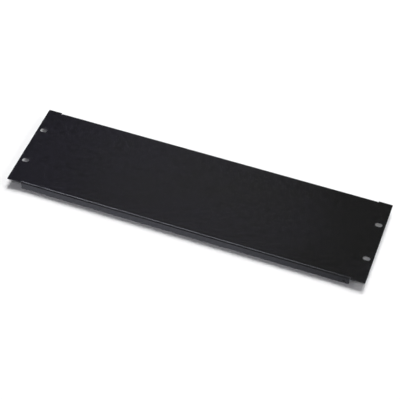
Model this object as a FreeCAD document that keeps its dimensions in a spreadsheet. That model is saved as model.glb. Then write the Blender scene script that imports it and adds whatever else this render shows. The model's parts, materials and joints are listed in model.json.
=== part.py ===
"""Rack blanking panel: one folded sheet of steel, three rack units high.

The panel lies on the free edges of its two flanges, front face up.
X runs across the rack, Y runs up the rack, Z points out of the front face.
The origin is at the middle of the footprint, on the surface that it lies on.
All sizes are in millimetres.
"""
import FreeCAD, Part
import os

import Sketcher

NODE = "blanking_panel"

# Every driving size: alias, value, what it measures.
SIZES = [
    ("panel_width", 482.6, "across both ears, the 19 inch rack width"),
    ("panel_height", 132.55, "up the rack, three rack units less the running gap"),
    ("sheet_thickness", 1.5, "steel sheet"),
    ("inner_bend_radius", 1.0, "inside of each fold"),
    ("flange_depth", 12.0, "front face to the free edge of a flange"),
    ("flange_end_setback", 19.6, "flange end to panel end, clear of the rack post"),
    ("flange_corner_radius", 1.5, "the free corners of each flange"),
    ("relief_width", 0.8, "notch between a flange end and the ear, along X"),
    ("relief_overrun", 0.3, "how far that notch runs past the bend into the face"),
    ("ear_corner_radius", 1.0, "the outer corners of the panel"),
    ("edge_easing", 0.25, "punched edges, rounded by deburring and coating"),
    ("slot_length", 9.5, "mounting slot, end to end along X"),
    ("slot_width", 6.8, "mounting slot, clear of an M6 screw"),
    ("slot_end_setback", 8.75, "slot centre to panel end"),
    ("slot_spacing_up", 57.15, "slot centre to slot centre along Y"),
    ("hanging_hole_diameter", 3.2, "hole that the panel hangs from in the coating line"),
    ("hanging_hole_from_end", 6.7, "hole centre to the end of the flange"),
    ("hanging_hole_from_face", 7.5, "hole centre to the front face"),
]

# Expressions that more than one sketch needs.
OUTER_BEND_RADIUS = "(sizes.inner_bend_radius + sizes.sheet_thickness)"
HALF_FLANGE = "(sizes.panel_width / 2 - sizes.flange_end_setback)"
SLOT_FROM_MIDDLE = "(sizes.panel_width / 2 - sizes.slot_end_setback)"

# Sketcher numbers its two axes down from -1, and the ends and centre of an edge up from 1.
H_AXIS, V_AXIS = range(-1, -3, -1)
START, END, CENTRE = range(1, 4)
ORIGIN = (H_AXIS, START)

# Lengths closer than this are taken as equal.
TOLERANCE = 1e-6

doc = FreeCAD.newDocument(NODE)


def write_sizes():
    """Put every driving size in the sheet under its own alias."""
    sheet = doc.addObject("Spreadsheet::Sheet", "sizes")
    for row, (alias, value, note) in enumerate(SIZES, start=1):
        sheet.set(f"A{row}", alias)
        sheet.set(f"B{row}", str(value))
        sheet.set(f"C{row}", note)
        sheet.setAlias(f"B{row}", alias)
    doc.recompute()


def origin_item(body, role):
    """One of the body's own origin planes or axes."""
    return next(item for item in body.Origin.OriginFeatures if item.Role == role)


def add_sketch(body, name, plane, offset=None):
    """An empty sketch on an origin plane, moved along the plane's normal by an expression."""
    sketch = body.newObject("Sketcher::SketchObject", name)
    sketch.AttachmentSupport = [(origin_item(body, plane), "")]
    sketch.MapMode = "FlatFace"
    if offset:
        sketch.setExpression(".AttachmentOffset.Base.z", offset)
    return sketch


def value_of(sketch, expression):
    return float(sketch.evalExpression(expression))


def dimension(sketch, name, kind, *where, to):
    """A named driving dimension, bound to an expression of the sheet's sizes."""
    made = sketch.addConstraint(Sketcher.Constraint(kind, *where, value_of(sketch, to)))
    sketch.renameConstraint(made, name)
    sketch.setExpression(f"Constraints.{name}", to)


def draw_outline(sketch, corners):
    """Draw a closed outline of level and upright edges through its corners.

    corners holds (x, y, radius) as expressions, with None for a sharp corner.
    Returns the edges, one from each corner to the next, and the corner arcs by corner.
    """
    count = len(corners)
    spots = [FreeCAD.Vector(value_of(sketch, x), value_of(sketch, y), 0) for x, y, _ in corners]
    radii = [value_of(sketch, radius) if radius else 0.0 for _, _, radius in corners]
    ahead = [(spots[(k + 1) % count] - spots[k]).normalize() for k in range(count)]

    edges = []
    for k, spot in enumerate(spots):
        after = (k + 1) % count
        line = Part.LineSegment(spot + ahead[k] * radii[k], spots[after] - ahead[k] * radii[after])
        edges.append(sketch.addGeometry(line, False))

    arcs = {}
    for k, radius in enumerate(radii):
        before = edges[k - 1]
        if not radius:
            sketch.addConstraint(Sketcher.Constraint("Coincident", before, END, edges[k], START))
            continue
        centre = spots[k] - ahead[k - 1] * radius + ahead[k] * radius
        middle = centre + (spots[k] - centre).normalize() * radius
        bend = Part.Arc(spots[k] - ahead[k - 1] * radius, middle, spots[k] + ahead[k] * radius)
        arcs[k] = sketch.addGeometry(bend, False)
        turns_left = ahead[k - 1].cross(ahead[k]).z > 0
        first, last = (START, END) if turns_left else (END, START)
        sketch.addConstraint(Sketcher.Constraint("Tangent", before, END, arcs[k], first))
        sketch.addConstraint(Sketcher.Constraint("Tangent", arcs[k], last, edges[k], START))
    return edges, arcs


def keep_straight(sketch, level=(), upright=()):
    for edge in level:
        sketch.addConstraint(Sketcher.Constraint("Horizontal", edge))
    for edge in upright:
        sketch.addConstraint(Sketcher.Constraint("Vertical", edge))


def require_whole(feature):
    """Stop where a feature failed, or a sketch is left free to move."""
    doc.recompute()
    if "Invalid" in feature.State or "Error" in feature.State:
        raise RuntimeError(f"{feature.Name} failed: {feature.State}")
    if feature.TypeId == "Sketcher::SketchObject" and not feature.FullyConstrained:
        raise RuntimeError(f"{feature.Name} is not fully constrained")


def add_channel(body):
    """The face between the ears with its two folded flanges, as one bent section."""
    half = "sizes.panel_height / 2"
    inside = f"({half} - sizes.sheet_thickness)"
    section = add_sketch(body, "ChannelSection", "YZ_Plane")
    edges, arcs = draw_outline(section, [
        (half, "0", None),
        (half, "sizes.flange_depth", OUTER_BEND_RADIUS),
        (f"-{half}", "sizes.flange_depth", OUTER_BEND_RADIUS),
        (f"-{half}", "0", None),
        (f"-{inside}", "0", None),
        (f"-{inside}", "sizes.flange_depth - sizes.sheet_thickness", "sizes.inner_bend_radius"),
        (inside, "sizes.flange_depth - sizes.sheet_thickness", "sizes.inner_bend_radius"),
        (inside, "0", None),
    ])
    upper_outside, front, lower_outside, lower_foot, _, back, _, upper_foot = edges
    keep_straight(section, level=edges[1::2], upright=edges[0::2])
    section.addConstraint(Sketcher.Constraint(
        "Symmetric", upper_outside, START, lower_outside, END, V_AXIS))
    section.addConstraint(Sketcher.Constraint("PointOnObject", upper_outside, START, H_AXIS))
    section.addConstraint(Sketcher.Constraint("Equal", lower_foot, upper_foot))
    section.addConstraint(Sketcher.Constraint("Equal", arcs[1], arcs[2]))
    section.addConstraint(Sketcher.Constraint("Equal", arcs[5], arcs[6]))
    dimension(section, "height", "DistanceX", lower_outside, END, upper_outside, START,
              to="sizes.panel_height")
    dimension(section, "depth", "DistanceY", *ORIGIN, front, START, to="sizes.flange_depth")
    dimension(section, "face_thickness", "DistanceY", back, START, front, START,
              to="sizes.sheet_thickness")
    dimension(section, "flange_thickness", "DistanceX", lower_foot, START, lower_foot, END,
              to="sizes.sheet_thickness")
    dimension(section, "outer_radius", "Radius", arcs[1], to=OUTER_BEND_RADIUS)
    dimension(section, "inner_radius", "Radius", arcs[5], to="sizes.inner_bend_radius")
    require_whole(section)

    channel = body.newObject("PartDesign::Pad", "Channel")
    channel.Profile = section
    channel.SideType = "Symmetric"
    channel.setExpression("Length", f"2 * {HALF_FLANGE}")
    require_whole(channel)
    return channel


def add_ears(body):
    """Both flat ears, each joined to the face by the neck between its two relief notches."""
    notch_side = f"({HALF_FLANGE} + sizes.relief_width)"
    neck = f"(sizes.panel_height / 2 - {OUTER_BEND_RADIUS} - sizes.relief_overrun)"
    outline = add_sketch(body, "EarOutline", "XY_Plane",
                         offset="sizes.flange_depth - sizes.sheet_thickness")
    edges, arcs = draw_outline(outline, [
        (HALF_FLANGE, f"-{neck}", None),
        (notch_side, f"-{neck}", None),
        (notch_side, "-sizes.panel_height / 2", None),
        ("sizes.panel_width / 2", "-sizes.panel_height / 2", "sizes.ear_corner_radius"),
        ("sizes.panel_width / 2", "sizes.panel_height / 2", "sizes.ear_corner_radius"),
        (notch_side, "sizes.panel_height / 2", None),
        (notch_side, neck, None),
        (HALF_FLANGE, neck, None),
    ])
    notch_floor, lower_notch, lower_edge, outer_edge, _, upper_notch, _, seam = edges
    keep_straight(outline, level=edges[0::2], upright=(lower_notch, outer_edge, upper_notch))
    outline.addConstraint(Sketcher.Constraint("Symmetric", seam, START, seam, END, H_AXIS))
    outline.addConstraint(Sketcher.Constraint(
        "Symmetric", lower_edge, START, upper_notch, START, H_AXIS))
    outline.addConstraint(Sketcher.Constraint("Equal", arcs[3], arcs[4]))
    dimension(outline, "flange_end", "DistanceX", *ORIGIN, notch_floor, START, to=HALF_FLANGE)
    dimension(outline, "notch_width", "DistanceX", notch_floor, START, notch_floor, END,
              to="sizes.relief_width")
    dimension(outline, "half_width", "DistanceX", *ORIGIN, outer_edge, START,
              to="sizes.panel_width / 2")
    dimension(outline, "height", "DistanceY", lower_edge, START, upper_notch, START,
              to="sizes.panel_height")
    dimension(outline, "neck", "DistanceY", seam, END, seam, START, to=f"2 * {neck}")
    dimension(outline, "corner_radius", "Radius", arcs[3], to="sizes.ear_corner_radius")
    require_whole(outline)

    ear = body.newObject("PartDesign::Pad", "Ear")
    ear.Profile = outline
    ear.setExpression("Length", "sizes.sheet_thickness")
    require_whole(ear)

    pair = body.newObject("PartDesign::Mirrored", "EarPair")
    pair.Originals = [ear]
    pair.MirrorPlane = (origin_item(body, "YZ_Plane"), [""])
    body.Tip = pair
    require_whole(pair)
    return pair


def add_flange_corners(body, base):
    """Round the free corners at the ends of both flanges."""
    end = base.evalExpression(HALF_FLANGE)
    corners = []
    for number, edge in enumerate(base.Shape.Edges, start=1):
        middle = edge.CenterOfMass
        if abs(abs(middle.x) - end) < TOLERANCE and abs(middle.z) < TOLERANCE:
            corners.append(f"Edge{number}")
    fillet = body.newObject("PartDesign::Fillet", "FlangeCorners")
    fillet.Base = (base, corners)
    fillet.setExpression("Radius", "sizes.flange_corner_radius")
    require_whole(fillet)
    return fillet


def is_sharp(shape, edge):
    """True where the two faces beside an edge meet at a corner, not in a smooth run."""
    beside = [face for face in shape.Faces if any(edge.isSame(other) for other in face.Edges)]
    middle = edge.valueAt((edge.FirstParameter + edge.LastParameter) / 2)
    one, other = (face.normalAt(*face.Surface.parameter(middle)) for face in beside)
    return abs(one.dot(other)) < 0.5


def is_across_sheet(edge, thickness):
    """True for an edge that runs straight through the face, from skin to skin."""
    box = edge.BoundBox
    return max(box.XLength, box.YLength, abs(box.ZLength - thickness)) < TOLERANCE


def add_eased_edges(body, base):
    """Round both skins of the sheet where they meet its punched outline."""
    thickness = base.evalExpression("sizes.sheet_thickness")
    outline = []
    for number, edge in enumerate(base.Shape.Edges, start=1):
        if is_sharp(base.Shape, edge) and not is_across_sheet(edge, thickness):
            outline.append(f"Edge{number}")
    fillet = body.newObject("PartDesign::Fillet", "EasedEdges")
    fillet.Base = (base, outline)
    fillet.setExpression("Radius", "sizes.edge_easing")
    require_whole(fillet)
    return fillet


def add_slots(body):
    """One mounting slot, repeated across and up the panel."""
    sketch = add_sketch(body, "SlotOutline", "XY_Plane", offset="sizes.flange_depth")
    reach = "(sizes.slot_length - sizes.slot_width) / 2"
    x = -value_of(sketch, SLOT_FROM_MIDDLE)
    y = -value_of(sketch, "sizes.slot_spacing_up / 2")
    half = value_of(sketch, reach)
    radius = value_of(sketch, "sizes.slot_width / 2")

    def spot(dx, dy):
        return FreeCAD.Vector(x + dx, y + dy, 0)

    below = sketch.addGeometry(Part.LineSegment(spot(-half, -radius), spot(half, -radius)), False)
    right = sketch.addGeometry(
        Part.Arc(spot(half, -radius), spot(half + radius, 0), spot(half, radius)), False)
    above = sketch.addGeometry(Part.LineSegment(spot(half, radius), spot(-half, radius)), False)
    left = sketch.addGeometry(
        Part.Arc(spot(-half, radius), spot(-half - radius, 0), spot(-half, -radius)), False)
    ring = (below, right, above, left)
    for before, after in zip(ring, ring[1:] + ring[:1]):
        sketch.addConstraint(Sketcher.Constraint("Tangent", before, END, after, START))
    keep_straight(sketch, level=(below, above))
    dimension(sketch, "end_radius", "Radius", left, to="sizes.slot_width / 2")
    dimension(sketch, "reach", "DistanceX", left, CENTRE, right, CENTRE, to=f"2 * {reach}")
    dimension(sketch, "across", "DistanceX", left, CENTRE, *ORIGIN,
              to=f"{SLOT_FROM_MIDDLE} + {reach}")
    dimension(sketch, "up", "DistanceY", left, CENTRE, *ORIGIN, to="sizes.slot_spacing_up / 2")
    require_whole(sketch)

    slot = body.newObject("PartDesign::Pocket", "Slot")
    slot.Profile = sketch
    slot.setExpression("Length", "sizes.sheet_thickness")
    require_whole(slot)

    pattern = body.newObject("PartDesign::LinearPattern", "SlotPattern")
    pattern.Originals = [slot]
    pattern.Direction = (origin_item(body, "X_Axis"), [""])
    pattern.setExpression("Length", f"2 * {SLOT_FROM_MIDDLE}")
    pattern.Occurrences = 2
    pattern.Direction2 = (origin_item(body, "Y_Axis"), [""])
    pattern.setExpression("Length2", "sizes.slot_spacing_up")
    pattern.Occurrences2 = 2
    body.Tip = pattern
    require_whole(pattern)
    return pattern


def add_hanging_hole(body):
    """The small round hole near one end of the lower flange."""
    sketch = add_sketch(body, "HangingHoleOutline", "XZ_Plane", offset="sizes.panel_height / 2")
    across = f"{HALF_FLANGE} - sizes.hanging_hole_from_end"
    up = "sizes.flange_depth - sizes.hanging_hole_from_face"
    centre = FreeCAD.Vector(value_of(sketch, across), value_of(sketch, up), 0)
    radius = value_of(sketch, "sizes.hanging_hole_diameter / 2")
    rim = sketch.addGeometry(Part.Circle(centre, FreeCAD.Vector(0, 0, 1), radius), False)
    dimension(sketch, "diameter", "Diameter", rim, to="sizes.hanging_hole_diameter")
    dimension(sketch, "across", "DistanceX", *ORIGIN, rim, CENTRE, to=across)
    dimension(sketch, "up", "DistanceY", *ORIGIN, rim, CENTRE, to=up)
    require_whole(sketch)

    hole = body.newObject("PartDesign::Pocket", "HangingHole")
    hole.Profile = sketch
    hole.setExpression("Length", "sizes.sheet_thickness")
    require_whole(hole)
    return hole


def removed_share(before, after, expected):
    """How much of the expected volume a cut took away, 1 when it took it all."""
    return (before.Shape.Volume - after.Shape.Volume) / expected


def check_cut(name, share):
    if abs(share - 1) > 1e-3:
        raise RuntimeError(f"{name} removed {share:.3f} of the volume that it should")


write_sizes()
panel = doc.addObject("PartDesign::Body", "BlankingPanel")
panel.Label = NODE

channel = add_channel(panel)
ears = add_ears(panel)
corners = add_flange_corners(panel, ears)
blank = add_eased_edges(panel, corners)
slots = add_slots(panel)
hanging_hole = add_hanging_hole(panel)
doc.recompute()

slot_face = doc.getObject("SlotOutline").Shape
hole_face = doc.getObject("HangingHoleOutline").Shape
thickness = panel.evalExpression("sizes.sheet_thickness")
check_cut("the slot pattern",
          removed_share(blank, slots, 4 * Part.Face(slot_face).Area * thickness))
check_cut("the hanging hole",
          removed_share(slots, hanging_hole, Part.Face(hole_face).Area * thickness))

for item in doc.Objects:
    if "Invalid" in item.State or "Error" in item.State:
        raise RuntimeError(f"{item.Name} failed: {item.State}")
if panel.Shape.isNull() or not panel.Shape.isValid() or len(panel.Shape.Solids) != 1:
    raise RuntimeError("the panel is not one valid solid")

os.makedirs("parts", exist_ok=True)
panel.Shape.exportStep(f"parts/{panel.Label}.step")
box = panel.Shape.optimalBoundingBox(False, False)
print(f"{panel.Label}: {box.XLength:.2f} x {box.YLength:.2f} x {box.ZLength:.2f} mm, "
      f"{panel.Shape.Volume:.0f} mm3, {len(panel.Shape.Faces)} faces")
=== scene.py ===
# %% [markdown]
# # A rack blanking panel in black powder coat
# This lesson dresses one folded sheet of steel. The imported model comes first, as a fixed frame.
# The main sizes and places could be typed in by hand, but here they are read from the frame, so
# that nothing has to be fitted later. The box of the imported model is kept, because the finished
# piece has to stay inside it.

# %% Load the frame
import json
import math

import bpy
from mathutils import Euler, Matrix, Vector
from mathutils.geometry import delaunay_2d_cdt


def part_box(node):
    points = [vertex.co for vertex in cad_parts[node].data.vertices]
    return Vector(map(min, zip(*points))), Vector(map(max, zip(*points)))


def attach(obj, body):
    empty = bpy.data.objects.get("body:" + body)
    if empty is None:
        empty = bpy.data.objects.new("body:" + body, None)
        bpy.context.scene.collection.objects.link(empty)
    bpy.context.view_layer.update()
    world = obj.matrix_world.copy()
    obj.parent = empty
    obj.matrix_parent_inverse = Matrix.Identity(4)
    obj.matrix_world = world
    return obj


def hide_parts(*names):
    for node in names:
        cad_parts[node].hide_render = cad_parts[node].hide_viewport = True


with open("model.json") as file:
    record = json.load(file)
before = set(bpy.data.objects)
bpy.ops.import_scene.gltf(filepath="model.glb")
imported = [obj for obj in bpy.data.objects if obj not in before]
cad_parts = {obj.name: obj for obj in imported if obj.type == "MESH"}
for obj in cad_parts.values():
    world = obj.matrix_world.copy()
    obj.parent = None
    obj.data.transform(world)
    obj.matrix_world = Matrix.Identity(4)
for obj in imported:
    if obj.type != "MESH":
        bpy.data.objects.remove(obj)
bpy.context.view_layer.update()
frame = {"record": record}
record = frame["record"]
low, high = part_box("blanking_panel")
print("frame box, m:", [round(b - a, 5) for a, b in zip(low, high)])

# %% [markdown]
# ## Sizes of the sheet
# A fabricator's drawing gives the outline, the mounting slots and the folds. The frame's box
# gives the outside, and the record's mounts state the slot pattern, the rear face of the ears
# and the small round hole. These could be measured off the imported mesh, but the record states
# them exactly. What it doesn't state, such as the bend radius, is a short list of named sizes
# here. A hair is a length too small to matter, for comparing places.

# %% Sizes of the sheet
MM = 0.001
HAIR = 0.001 * MM

mounts = {mount["name"]: mount for mount in record["mounts"]}
half_width = high.x
half_height = high.y
face_level = high.z
thickness = face_level - mounts["ear_rear"]["pos_m"][2]

flange_end_setback = 19.6 * MM
flange_end = half_width - flange_end_setback
inner_bend_radius = 1.0 * MM
outer_bend_radius = inner_bend_radius + thickness
relief_width = 0.8 * MM
relief_overrun = 0.3 * MM
ear_corner_radius = 1.0 * MM
flange_corner_radius = 1.5 * MM
notch_corner_radius = 0.27 * MM
edge_easing = 0.25 * MM
rim_easing = 0.06 * MM

slot_dims = mounts["rack_slots"]["dims"]
slot_half_spacing = (slot_dims["spacing_x_mm"] / 2 * MM, slot_dims["spacing_y_mm"] / 2 * MM)
slot_half_length = slot_dims["slot_length_mm"] / 2 * MM
slot_radius = slot_dims["hole_r_mm"] * MM
hole_place = Vector(mounts["hanging_hole"]["pos_m"])
hole_radius = mounts["hanging_hole"]["dims"]["r_mm"] * MM
print("sheet thickness, mm:", round(thickness / MM, 3))

# %% [markdown]
# ## The fold, as a map from the flat blank to the finished sheet
# The real panel is punched flat and then folded in a press brake. The mesh is made the same way:
# the blank is drawn flat, where an outline is easy, and one function folds each of its points.
# A point of the blank is u along the panel, v across it, and a depth below the outer skin.
# A Simple Deform modifier could bend the sheet too, but it would have to be told to spare the
# ears, and it doesn't hand back the skin's own directions, which the shading needs.

# %% Fold one point
bend_line = half_height - outer_bend_radius
bend_run = outer_bend_radius * math.pi / 2
blank_half_height = bend_line + bend_run + face_level - outer_bend_radius
fold_reach = flange_end + relief_width / 2


def fold(u, v, depth):
    """Where a point of the blank lies on the folded sheet, with the skin's own directions there.

    Returns the place, the direction out of the outer skin and the direction of growing v.
    """
    side = math.copysign(1, v)
    past = abs(v) - bend_line
    if past <= 0 or abs(u) > fold_reach:
        return Vector((u, v, face_level - depth)), Vector((0, 0, 1)), Vector((0, 1, 0))
    turn = min(past / bend_run, 1) * math.pi / 2
    out = Vector((0, side * math.sin(turn), math.cos(turn)))
    along = Vector((0, math.cos(turn), -side * math.sin(turn)))
    centre = Vector((u, side * bend_line, face_level - outer_bend_radius))
    straight = max(past - bend_run, 0)
    return centre + out * (outer_bend_radius - depth) + along * side * straight, out, along


print("a fold uses up, mm:", round(bend_run / MM, 3))

# %% [markdown]
# ## The punched outline
# An outline is a list of corners, each with its own radius. Each corner becomes an arc, and every
# point keeps the direction that faces out of the metal there. Those directions do two jobs later:
# they carry the eased edge inward, and they become the shading normals. Curve objects with a
# bevel could draw the same outline, but they don't give these directions.

# %% Corners to points
ARC_STEPS = 8


def rounded(corners):
    """Points around a closed outline that turns left: (place, outward direction) pairs."""
    points = []
    for k, (corner, radius) in enumerate(corners):
        before, after = Vector(corners[k - 1][0]), Vector(corners[(k + 1) % len(corners)][0])
        corner = Vector(corner)
        came, goes = (corner - before).normalized(), (after - corner).normalized()
        turns_left = came.cross(goes) > 0
        centre = corner + (goes - came) * radius
        first, last = Vector((came.y, -came.x)), Vector((goes.y, -goes.x))
        for step in range(ARC_STEPS + 1):
            share = step / ARC_STEPS * math.pi / 2
            out = first * math.cos(share) + last * math.sin(share)
            points.append((centre + out * (radius if turns_left else -radius), out))
    return points


def obround(centre, half_length, radius):
    """A round-ended slot's points, or a round hole's where half_length equals radius.

    They turn right, so that the outward direction points out of the metal, into the opening.
    The two halves of a round hole share their end points, so there each half leaves one out.
    """
    points = []
    steps = 2 * ARC_STEPS
    shared = 1 if half_length == radius else 0
    for end in (1, -1):
        middle = Vector(centre) + Vector((end * (half_length - radius), 0))
        for step in range(shared, steps + 1):
            angle = end * math.pi / 2 - step / steps * math.pi
            reach = Vector((math.cos(angle), math.sin(angle)))
            points.append((middle + reach * radius, -reach))
    return points


print("points per rounded corner:", ARC_STEPS + 1)

# %% [markdown]
# ## The blank's outline and holes
# Each quarter of the outline is the same: the ear's corner, the relief notch with its mouth and
# the two corners of its floor, and the flange's free corner. All twenty corners could be listed,
# but one quarter is written and mirrored, so the four can't come to differ. The flange's end
# edges also get a point at every step of the bend, so that they can curve.

# %% Draw the blank
BEND_STEPS = 12

bend_stations = [bend_line + bend_run * step / BEND_STEPS for step in range(BEND_STEPS + 1)]
notch_floor = bend_line - relief_overrun
notch_side = flange_end + relief_width

quarter = [
    ((half_width, half_height), ear_corner_radius),
    ((notch_side, half_height), notch_corner_radius),
    ((notch_side, notch_floor), notch_corner_radius),
    ((flange_end, notch_floor), notch_corner_radius),
    ((flange_end, blank_half_height), flange_corner_radius),
]
corners = list(quarter)
corners += [((-x, y), radius) for (x, y), radius in reversed(quarter)]
corners += [((-x, -y), radius) for (x, y), radius in quarter]
corners += [((x, -y), radius) for (x, y), radius in reversed(quarter)]


def with_bend_stations(points):
    """Add a point at each bend station to the straight ends of the flanges."""
    finished = []
    for k, (place, out) in enumerate(points):
        finished.append((place, out))
        after = points[(k + 1) % len(points)][0]
        is_flange_end = max(abs(abs(spot.x) - flange_end) for spot in (place, after)) < HAIR
        if is_flange_end and abs(place.y - after.y) > bend_run:
            stations = [math.copysign(v, place.y) for v in bend_stations]
            stations.sort(reverse=after.y < place.y)
            finished += [(Vector((place.x, v)), out) for v in stations]
    return finished


loops = [with_bend_stations(rounded(corners))]
for x in (-slot_half_spacing[0], slot_half_spacing[0]):
    for y in (-slot_half_spacing[1], slot_half_spacing[1]):
        loops.append(obround((x, y), slot_half_length, slot_radius))
hole_v = -(bend_line + bend_run + face_level - outer_bend_radius - hole_place.z)
loops.append(obround((hole_place.x, hole_v), hole_radius, hole_radius))
print("loops in the blank:", len(loops), "points:", sum(len(loop) for loop in loops))

# %% [markdown]
# ## Skins and eased edges
# A sheet has two skins and a punched edge between them. Deburring and the coating leave that edge
# rounded, and the thin line of light along it is what makes a sheet look like metal and not like
# card. The slots and the small hole keep a sharper rim, since they are harder to deburr.
# A Bevel modifier would round the edges after the fact. Here each outline point instead gets two
# small quarter-rounds of its own, so they stay even, also where the edge runs round a bend.

# %% Rings from skin to skin
EASE_STEPS = 4


def edge_section(easing):
    """Steps from the outer skin to the inner one.

    Each holds its inset and depth, and how far it faces out of the metal and out of the skin.
    """
    section = []
    for step in range(EASE_STEPS + 1):
        turn = step / EASE_STEPS * math.pi / 2
        inset, sink = easing * (1 - math.sin(turn)), easing * (1 - math.cos(turn))
        section.append((inset, sink, math.sin(turn), math.cos(turn)))
    return section + [(inset, thickness - sink, sideways, -skinward)
                      for inset, sink, sideways, skinward in reversed(section)]


def place_point(u, v, depth, out, sideways, skinward):
    """A folded point with its shading normal."""
    place, skin, along = fold(u, v, depth)
    normal = (Vector((1, 0, 0)) * out.x + along * out.y) * sideways + skin * skinward
    return place, normal.normalized()


sections = [edge_section(edge_easing)] + [edge_section(rim_easing)] * (len(loops) - 1)
last_ring = len(sections[0]) - 1
vertices, normals, faces, eased = [], [], [], []
rims = {0: [], last_ring: []}
for loop, section in zip(loops, sections):
    first = len(vertices)
    count = len(loop)
    for ring, (inset, depth, sideways, skinward) in enumerate(section):
        if ring in rims:
            rims[ring].append(range(len(vertices), len(vertices) + count))
        for place, out in loop:
            spot = place - out * inset
            made = place_point(spot.x, spot.y, depth, out, sideways, skinward)
            vertices.append(made[0])
            normals.append(made[1])
            eased.append(sideways)
    for ring in range(last_ring):
        for k in range(count):
            a, b = first + ring * count + k, first + ring * count + (k + 1) % count
            faces.append((a, a + count, b + count, b))
print("rings per edge:", last_ring + 1, "vertices:", len(vertices))

# %% [markdown]
# ## Closing the two skins
# Each skin is flat in the blank, with holes in it, so a constrained triangulation fills it
# without adding points. The bend stations go in as constraints too: they cut the skin into
# narrow strips along the bend, and each strip stays flat when the fold turns it. A Boolean
# modifier could cut the openings instead, but the points that it makes would come without the
# outward directions that the eased edges need.

# %% Fill the skins
FILL_ALL = 0
MERGE_DISTANCE = 1e-9


def inside(spot, outlines):
    """True for a place in the metal: a line from it crosses the outlines an odd number of times."""
    crossings = 0
    for outline in outlines:
        for a, b in zip(outline, outline[1:] + outline[:1]):
            if (a.y > spot.y) != (b.y > spot.y):
                crossings += spot.x < a.x + (spot.y - a.y) / (b.y - a.y) * (b.x - a.x)
    return crossings % 2 == 1


def fill_skin(ring, turned_over):
    """Fill the skin that a ring of points bounds. The inner skin's faces are turned over."""
    outlines = [[place - out * section[ring][0] for place, out in loop]
                for loop, section in zip(loops, sections)]
    spots = [spot for outline in outlines for spot in outline]
    owners = [index for rim in rims[ring] for index in rim]
    edges, start = [], 0
    for outline in outlines:
        edges += [(start + k, start + (k + 1) % len(outline)) for k in range(len(outline))]
        start += len(outline)
    for v in bend_stations:
        for level in (v, -v):
            ends = [k for k, spot in enumerate(spots)
                    if abs(spot.y - level) < HAIR and abs(spot.x) < flange_end + HAIR]
            left, right = min(ends, key=lambda k: spots[k].x), max(ends, key=lambda k: spots[k].x)
            edges.append((left, right))
    _, _, triangles, sources, _, _ = delaunay_2d_cdt(spots, edges, [], FILL_ALL, MERGE_DISTANCE)
    for triangle in triangles:
        a, b, c = (sources[k][0] for k in triangle)
        if inside((spots[a] + spots[b] + spots[c]) / 3, outlines):
            corner = (owners[a], owners[b], owners[c])
            faces.append(corner[::-1] if turned_over else corner)


fill_skin(0, turned_over=False)
fill_skin(last_ring, turned_over=True)
print("faces:", len(faces))

# %% [markdown]
# ## One mesh object
# The points and faces become one closed mesh. Its normals are set from the directions worked out
# above, so a bend of twelve steps shades as one smooth curve. Smooth shading by itself would
# average the faces' normals. At the rims of the flat face that tips them by over five degrees,
# and the tilt would show as a false shade across the face. The share of easing at each point is
# kept as an attribute called eased, which the finish reads to find the edges.

# %% Make the panel
mesh = bpy.data.meshes.new("panel")
mesh.from_pydata(vertices, [], faces)
mesh.polygons.foreach_set("use_smooth", [True] * len(mesh.polygons))
eased_attribute = mesh.attributes.new("eased", "FLOAT", "POINT")
eased_attribute.data.foreach_set("value", eased)
mesh.normals_split_custom_set_from_vertices(normals)
mesh.update()

panel = bpy.data.objects.new("panel", mesh)
bpy.context.scene.collection.objects.link(panel)
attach(panel, "root")
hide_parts("blanking_panel")
print("panel triangles:", sum(len(polygon.vertices) - 2 for polygon in mesh.polygons))

# %% [markdown]
# ## Helpers for node trees
# Every finish below is a small graph of nodes. One helper adds a node with its settings and feeds
# its inputs, so that each graph reads as a list of ingredients. An input given as a socket is
# linked, and one given as a plain value is typed in. The same graphs could be written out node
# by node, but they would be much longer. A noise stays near its middle, so the ramps on a noise
# run over that part only.

# %% Add a node
def add_node(tree, kind, settings=None, **inputs):
    """Add a shader node with its settings. The names of its inputs use _ for a blank."""
    node = tree.nodes.new("ShaderNode" + kind)
    for name, value in (settings or {}).items():
        setattr(node, name, value)
    for name, value in inputs.items():
        feed(tree, node.inputs[name.replace("_", " ")], value)
    return node


def feed(tree, socket, value):
    """Link a socket to an input, or type a plain value into it."""
    if isinstance(value, bpy.types.NodeSocket):
        tree.links.new(value, socket)
    else:
        socket.default_value = value


def add_math(tree, operation, first, second):
    """The result of one step of arithmetic on two values."""
    node = add_node(tree, "Math", {"operation": operation})
    feed(tree, node.inputs[0], first)
    feed(tree, node.inputs[1], second)
    return node.outputs[0]


NOISE_LOW, NOISE_HIGH = 0.35, 0.65


def add_noise(tree, place, size, detail=2.0):
    """Three-dimensional noise whose features are about size metres across."""
    return add_node(tree, "TexNoise", Vector=place, Scale=1 / size, Detail=detail).outputs["Fac"]


def add_ramp(tree, factor, low_value, high_value, low_end=0.0, high_end=1.0):
    """Spread a factor between two values, and hold it level outside the two ends."""
    node = add_node(tree, "MapRange", Value=factor, From_Min=low_end, From_Max=high_end,
                    To_Min=low_value, To_Max=high_value)
    return node.outputs["Result"]


print("a ramp spreads a noise between:", NOISE_LOW, "and", NOISE_HIGH)

# %% [markdown]
# ## The powder coat: colour
# The finish is a black polyester powder, sprayed dry and melted in an oven. Its colour is
# painted a little lighter and more violet towards the left end: that is painted cool light.
# A ramp along the panel paints that light, and two noises break it up. A faint mottle lies over
# all, where the powder flowed out more in one spot than in the next. A single colour would look
# like plastic, and a stronger drift like a stain.

# %% Coat colour
# The left end's colour is painted cool light: the coat's black made lighter and more violet.
COAT_RIGHT_END = (0.0068, 0.0068, 0.0067, 1)
COAT_COOL_LIT_LEFT_END = (0.0096, 0.0090, 0.0134, 1)
COOL_LIGHT_REACH = 220 * MM
PATCH_SHARE = 0.3
DRIFT_SIZE = 90 * MM
CLOUD_SIZE = 7 * MM
MOTTLE_SIZE = 6 * MM
MOTTLE_LOW, MOTTLE_HIGH = 0.3, 0.7
MOTTLE_DARK, MOTTLE_LIGHT = 0.65, 1.35

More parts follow.
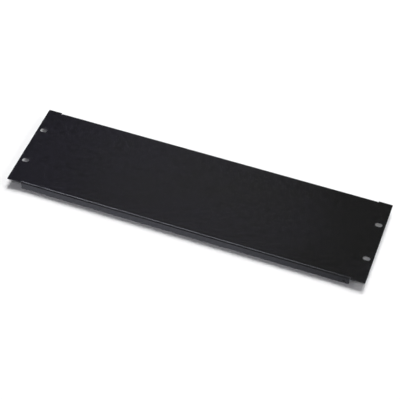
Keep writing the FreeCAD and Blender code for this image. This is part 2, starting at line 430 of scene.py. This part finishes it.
coat = bpy.data.materials.new("powder_coat")
coat.use_nodes = True
tree = coat.node_tree
shader = tree.nodes["Principled BSDF"]
place = add_node(tree, "TexCoord").outputs["Object"]

drift = add_noise(tree, place, DRIFT_SIZE)
cloud = add_noise(tree, place, CLOUD_SIZE)
both = add_math(tree, "ADD", drift, cloud)
patches = add_ramp(tree, both, -PATCH_SHARE, PATCH_SHARE, 2 * NOISE_LOW, 2 * NOISE_HIGH)
along = add_node(tree, "SeparateXYZ", Vector=place).outputs["X"]
# Painted cool light: a ramp from the lighter violet black at the left end to the plain one at the
# right.
painted_cool_light = add_ramp(tree, along, 1, 0, -COOL_LIGHT_REACH, COOL_LIGHT_REACH)
blend = add_math(tree, "ADD", painted_cool_light, patches)
coat_with_painted_light = add_node(tree, "MixRGB", Fac=blend, Color1=COAT_RIGHT_END, Color2=COAT_COOL_LIT_LEFT_END).outputs[0]

mottle = add_ramp(tree, add_noise(tree, place, MOTTLE_SIZE), MOTTLE_DARK, MOTTLE_LIGHT,
                  MOTTLE_LOW, MOTTLE_HIGH)
coat_colour = add_node(tree, "MixRGB", {"blend_type": "MULTIPLY"}, Fac=1.0,
                       Color1=coat_with_painted_light, Color2=mottle).outputs[0]
print("coat from", COAT_RIGHT_END[:3], "to", COAT_COOL_LIT_LEFT_END[:3])

# %% [markdown]
# ## The powder coat: edges
# Molten powder draws back from an edge, so the film is thinnest there, and handling polishes it.
# The Geometry node's Pointiness could find the edges, but it depends on how finely they are
# meshed, so the eased attribute tells where they are. A small noise breaks the wear up, since a
# line of even width would look drawn on.

# %% Worn edges
EDGE_COLOUR = (0.030, 0.030, 0.032, 1)
WEAR_SIZE = 1.5 * MM
WEAR_START, WEAR_FULL = 0.3, 0.9

on_edge = add_node(tree, "Attribute", {"attribute_name": "eased"}).outputs["Fac"]
edge_share = add_ramp(tree, on_edge, 0, 1, WEAR_START, WEAR_FULL)
wear_pattern = add_ramp(tree, add_noise(tree, place, WEAR_SIZE), 0, 1, NOISE_LOW, NOISE_HIGH)
wear = add_math(tree, "MULTIPLY", edge_share, wear_pattern)
worn_colour = add_node(tree, "MixRGB", Fac=wear, Color1=coat_colour, Color2=EDGE_COLOUR).outputs[0]
feed(tree, shader.inputs["Base Color"], worn_colour)
print("worn edges:", EDGE_COLOUR[:3])

# %% [markdown]
# ## The powder coat: sheen and grain
# The melted powder has a fine pebbled grain, and beneath it a broader waviness known as orange
# peel. Both are heights, not colours, so they go in as bump, each with its depth in metres. Real
# displacement would need a far finer mesh. The sheen is that of an ordinary clear film, and it
# drifts a little as the colour does.

# %% Sheen and grain
SHEEN_EVEN, SHEEN_DULL = 0.22, 0.27
WORN_POLISH = 0.05
GRAIN_SIZE, GRAIN_DEPTH = 0.5 * MM, 0.008 * MM
PEEL_SIZE, PEEL_DEPTH = 4.0 * MM, 0.020 * MM
FILM_IOR = 1.5

dullness = add_ramp(tree, drift, SHEEN_EVEN, SHEEN_DULL, NOISE_LOW, NOISE_HIGH)
polish = add_math(tree, "MULTIPLY", wear, WORN_POLISH)
feed(tree, shader.inputs["Roughness"], add_math(tree, "SUBTRACT", dullness, polish))
feed(tree, shader.inputs["IOR"], FILM_IOR)

waves = add_noise(tree, place, PEEL_SIZE, detail=1.0)
pebbles = add_noise(tree, place, GRAIN_SIZE, detail=1.0)
peel = add_node(tree, "Bump", Height=waves, Distance=PEEL_DEPTH)
grain = add_node(tree, "Bump", Height=pebbles, Distance=GRAIN_DEPTH, Normal=peel.outputs["Normal"])
feed(tree, shader.inputs["Normal"], grain.outputs["Normal"])
mesh.materials.append(coat)
print("coat nodes:", len(tree.nodes))

# %% [markdown]
# ## The studio: floor
# The floor is plain white paper that runs out of sight, lit just enough to be white by itself, so
# the panel's shadow stays on it. To a reflection the floor glows by itself, bright at the left
# and dimmer at the right: that is what the Light Path node is for, and it is how a black part
# comes to show its shape. The lit paper could be mirrored as it is, but then the flange would
# mirror the panel's own shadow, and it would look the same from end to end. Under the panel
# hardly any light gets in, so there the paper has no glow, and the small hole stays dark.

# %% Floor
FLOOR_SIZE = 24.0
PAPER_COLOUR = (0.96, 0.96, 0.96, 1)
MIRRORED_COLOUR = (0.95, 0.97, 1.10, 1)
MIRRORED_LEFT, MIRRORED_RIGHT = 0.81, 0.36
FADE_START, FADE_END = 0.06, 0.24

floor_mesh = bpy.data.meshes.new("floor")
reach = FLOOR_SIZE / 2
floor_corners = [(-reach, -reach, 0), (reach, -reach, 0), (reach, reach, 0), (-reach, reach, 0)]
floor_mesh.from_pydata(floor_corners, [], [(0, 1, 2, 3)])
floor = bpy.data.objects.new("floor", floor_mesh)
floor.location.z = low.z
bpy.context.scene.collection.objects.link(floor)

paper = bpy.data.materials.new("paper")
paper.use_nodes = True
tree = paper.node_tree
tree.nodes.clear()
ray = add_node(tree, "LightPath").outputs
matt = add_node(tree, "BsdfDiffuse", Color=PAPER_COLOUR).outputs[0]
spot = add_node(tree, "SeparateXYZ", Vector=add_node(tree, "TexCoord").outputs["Object"]).outputs
fade = add_ramp(tree, spot["X"], MIRRORED_LEFT, MIRRORED_RIGHT, FADE_START, FADE_END)
past_ends = add_math(tree, "GREATER_THAN", add_math(tree, "ABSOLUTE", spot["X"], 0), flange_end)
past_sides = add_math(tree, "GREATER_THAN", add_math(tree, "ABSOLUTE", spot["Y"], 0), half_height)
glow = add_math(tree, "MULTIPLY", fade, add_math(tree, "MAXIMUM", past_ends, past_sides))
white = add_node(tree, "Emission", Color=MIRRORED_COLOUR, Strength=glow).outputs[0]
mirrored = add_math(tree, "MAXIMUM", ray["Is Glossy Ray"], ray["Is Transmission Ray"])
seen = add_node(tree, "MixShader", Fac=mirrored)
feed(tree, seen.inputs[1], matt)
feed(tree, seen.inputs[2], white)
add_node(tree, "OutputMaterial", Surface=seen.outputs[0])
floor_mesh.materials.append(paper)
print("floor, m:", FLOOR_SIZE, "and its mirrored glow:", MIRRORED_LEFT, "to", MIRRORED_RIGHT)

# %% [markdown]
# ## The studio: surroundings
# The paper curves up at its far edges and shows a low white rim all round. Over it the room is
# dark. A black part shows its face only by what it mirrors, so the dark room keeps the face
# black. The camera alone sees white all the way up, as it would in a cut-out catalogue picture.
# A room of one even white would be simpler, but it would lay a grey veil over the whole face.

# %% Surroundings
ROOM_LEVEL = 0.07
BACKDROP_LEVEL = 1.0
RIM_TOP, RIM_END = math.sin(math.radians(4)), math.sin(math.radians(8))

world = bpy.data.worlds.new("studio")
bpy.context.scene.world = world
world.use_nodes = True
tree = world.node_tree
towards = add_node(tree, "TexCoord").outputs["Generated"]
height = add_node(tree, "SeparateXYZ", Vector=towards).outputs["Z"]
rim = add_ramp(tree, height, BACKDROP_LEVEL, ROOM_LEVEL, RIM_TOP, RIM_END)
to_camera = add_node(tree, "LightPath").outputs["Is Camera Ray"]
surroundings = add_math(tree, "MAXIMUM", rim, to_camera)
background = tree.nodes["Background"]
feed(tree, background.inputs["Color"], (1, 1, 1, 1))
feed(tree, background.inputs["Strength"], surroundings)
print("surroundings, from the table up:", BACKDROP_LEVEL, "to", ROOM_LEVEL)

# %% [markdown]
# ## The studio: lamps
# A lamp could be placed by its coordinates, but it is easier to think of where it stands round
# the panel. So one helper turns an azimuth and an elevation into a direction, and another hangs
# the lamp there with its long side along the panel. A sun's level is stated as the brightness
# that it gives to white paper on the table, so that the suns can be balanced against each other
# by plain numbers.

# %% Hang a lamp
def direction(azimuth, elevation):
    """The direction towards a lamp or camera, with azimuth 0 in front and growing to the right."""
    a, e = math.radians(azimuth), math.radians(elevation)
    return Vector((math.sin(a) * math.cos(e), -math.cos(a) * math.cos(e), math.sin(e)))


def hang_lamp(name, kind, azimuth, elevation, distance):
    """A lamp that looks at the middle of the panel, with its own x axis along the panel."""
    lamp = bpy.data.objects.new(name, bpy.data.lights.new(name, kind))
    bpy.context.scene.collection.objects.link(lamp)
    towards = direction(azimuth, elevation)
    lamp.location = towards * distance
    across = towards.cross(Vector((1, 0, 0))).normalized()
    lamp.rotation_euler = Matrix((across.cross(towards), across, towards)).transposed().to_euler()
    return lamp


def sun_energy(level, elevation):
    """The sun energy that lights level white paper to a given level."""
    return level * math.pi / math.sin(math.radians(elevation))


print("straight up:", [round(value, 3) for value in direction(0, 90)])

# %% [markdown]
# ## Key, fill and side light
# The key is a wide soft sun from behind. It draws the short shadow in front of the panel, and
# its wide spread makes that shadow fade. A weak fill from the front reaches the table through
# the slots, and it is a little cool, as the light in a shadow by a window is. A weak side light
# comes in low from behind the right end, where it gets under the ear and brightens the paper
# there. Mirror images of the key and the side light would be a glare on the face, so these two
# are hidden from reflections. Area lamps would do as well, but a sun lights the whole table
# evenly, as white paper needs.

# %% Suns
SUN_DISTANCE = 3.0
PLAIN, COOL = (1, 1, 1), (1.0, 1.0, 1.08)
SUNS = {
    "key": {"azimuth": 180, "elevation": 57, "spread": 32, "level": 0.79, "colour": PLAIN},
    "fill": {"azimuth": 20, "elevation": 60, "spread": 14, "level": 0.11, "colour": COOL},
    "side": {"azimuth": 115, "elevation": 35, "spread": 12, "level": 0.10, "colour": PLAIN},
}
UNMIRRORED = ("key", "side")

for name, plan in SUNS.items():
    sun = hang_lamp(name, "SUN", plan["azimuth"], plan["elevation"], SUN_DISTANCE)
    sun.data.angle = math.radians(plan["spread"])
    sun.data.energy = sun_energy(plan["level"], plan["elevation"])
    sun.data.color = plan["colour"]
    sun.visible_glossy = name not in UNMIRRORED
print("light on the table:", round(sum(plan["level"] for plan in SUNS.values()), 3))

# %% [markdown]
# ## Strips for the bend
# A bend shows as one thin line of light, and that line is the mirror image of a lamp. Two long
# strips in a row, hung overhead to the left, give it. The right one is dimmer, so the line fades
# along the panel. They are seen in reflections only, so that they add no second shadow. A pale
# line in the coat's colour would be easier, but it would stay put when the eye moves.

# %% Strip lamps
STRIP_WIDTH = 0.16
STRIP_COLOUR = (0.95, 0.97, 1.10)
STRIPS = {
    "strip_left": {"azimuth": 285, "elevation": 65, "distance": 1.70, "length": 0.40, "level": 32},
    "strip_right": {"azimuth": 310, "elevation": 79, "distance": 1.57, "length": 0.52, "level": 23},
}


def glow_energy(level, length, width):
    """The energy that makes a lamp of this size shine at a level, where white paper is 1."""
    return level * math.pi * length * width


for name, plan in STRIPS.items():
    strip = hang_lamp(name, "AREA", plan["azimuth"], plan["elevation"], plan["distance"])
    strip.data.shape = "RECTANGLE"
    strip.data.size, strip.data.size_y = plan["length"], STRIP_WIDTH
    strip.data.energy = glow_energy(plan["level"], plan["length"], STRIP_WIDTH)
    strip.data.color = STRIP_COLOUR
    strip.visible_diffuse = False
    print(name, "energy, W:", round(strip.data.energy, 2))

# %% [markdown]
# ## Card for the face
# The face lies flat and mirrors what stands behind it. A large dim card there gives its middle
# a soft glow, and both ends fall off into black. That glow is what tells a painted sheet from a
# hole in the picture. A brighter card would show as a patch with an edge.

# %% Card lamp
CARD_LEVEL = 0.25
CARD_AZIMUTH, CARD_ELEVATION, CARD_DISTANCE, CARD_SIZE = 200.5, 49, 1.6, 0.55

card = hang_lamp("card", "AREA", CARD_AZIMUTH, CARD_ELEVATION, CARD_DISTANCE)
card.data.size = CARD_SIZE
card.data.energy = glow_energy(CARD_LEVEL, CARD_SIZE, CARD_SIZE)
print("card energy, W:", round(card.data.energy, 3))

# %% [markdown]
# ## Camera
# The panel is far wider than it is high, so it is seen from well above and a little from the
# right: that shows the face, one flange and both ears. The lens is long and stands far off, as
# in a catalogue, so the two long edges stay almost parallel. A short lens close by would make
# the near corner loom. The slight roll is that of a camera that doesn't stand quite level.

# %% Camera
CAMERA_AZIMUTH = 19.794
CAMERA_ELEVATION = 49.838
CAMERA_ROLL = 0.630
CAMERA_DISTANCE = 1.65997
CAMERA_TARGET = Vector((0.0066, -0.0127, face_level))
LENS = 116.3
SENSOR = 36

camera = bpy.data.objects.new("camera", bpy.data.cameras.new("camera"))
bpy.context.scene.collection.objects.link(camera)
bpy.context.scene.camera = camera
camera.data.lens = LENS
camera.data.sensor_width = SENSOR
camera.location = CAMERA_TARGET + direction(CAMERA_AZIMUTH, CAMERA_ELEVATION) * CAMERA_DISTANCE
turned = Euler((math.radians(90 - CAMERA_ELEVATION), 0, math.radians(CAMERA_AZIMUTH)))
rolled = Euler((0, 0, math.radians(CAMERA_ROLL)))
camera.rotation_euler = (turned.to_matrix() @ rolled.to_matrix()).to_euler()
print("camera stands at, m:", [round(value, 3) for value in camera.location])

# %% [markdown]
# ## Colours as written
# The Standard view transform shows each colour as it was written. The default, AgX, would turn
# white paper grey. The visual must stay inside the CAD box.

# %% View transform
bpy.context.scene.view_settings.view_transform = "Standard"
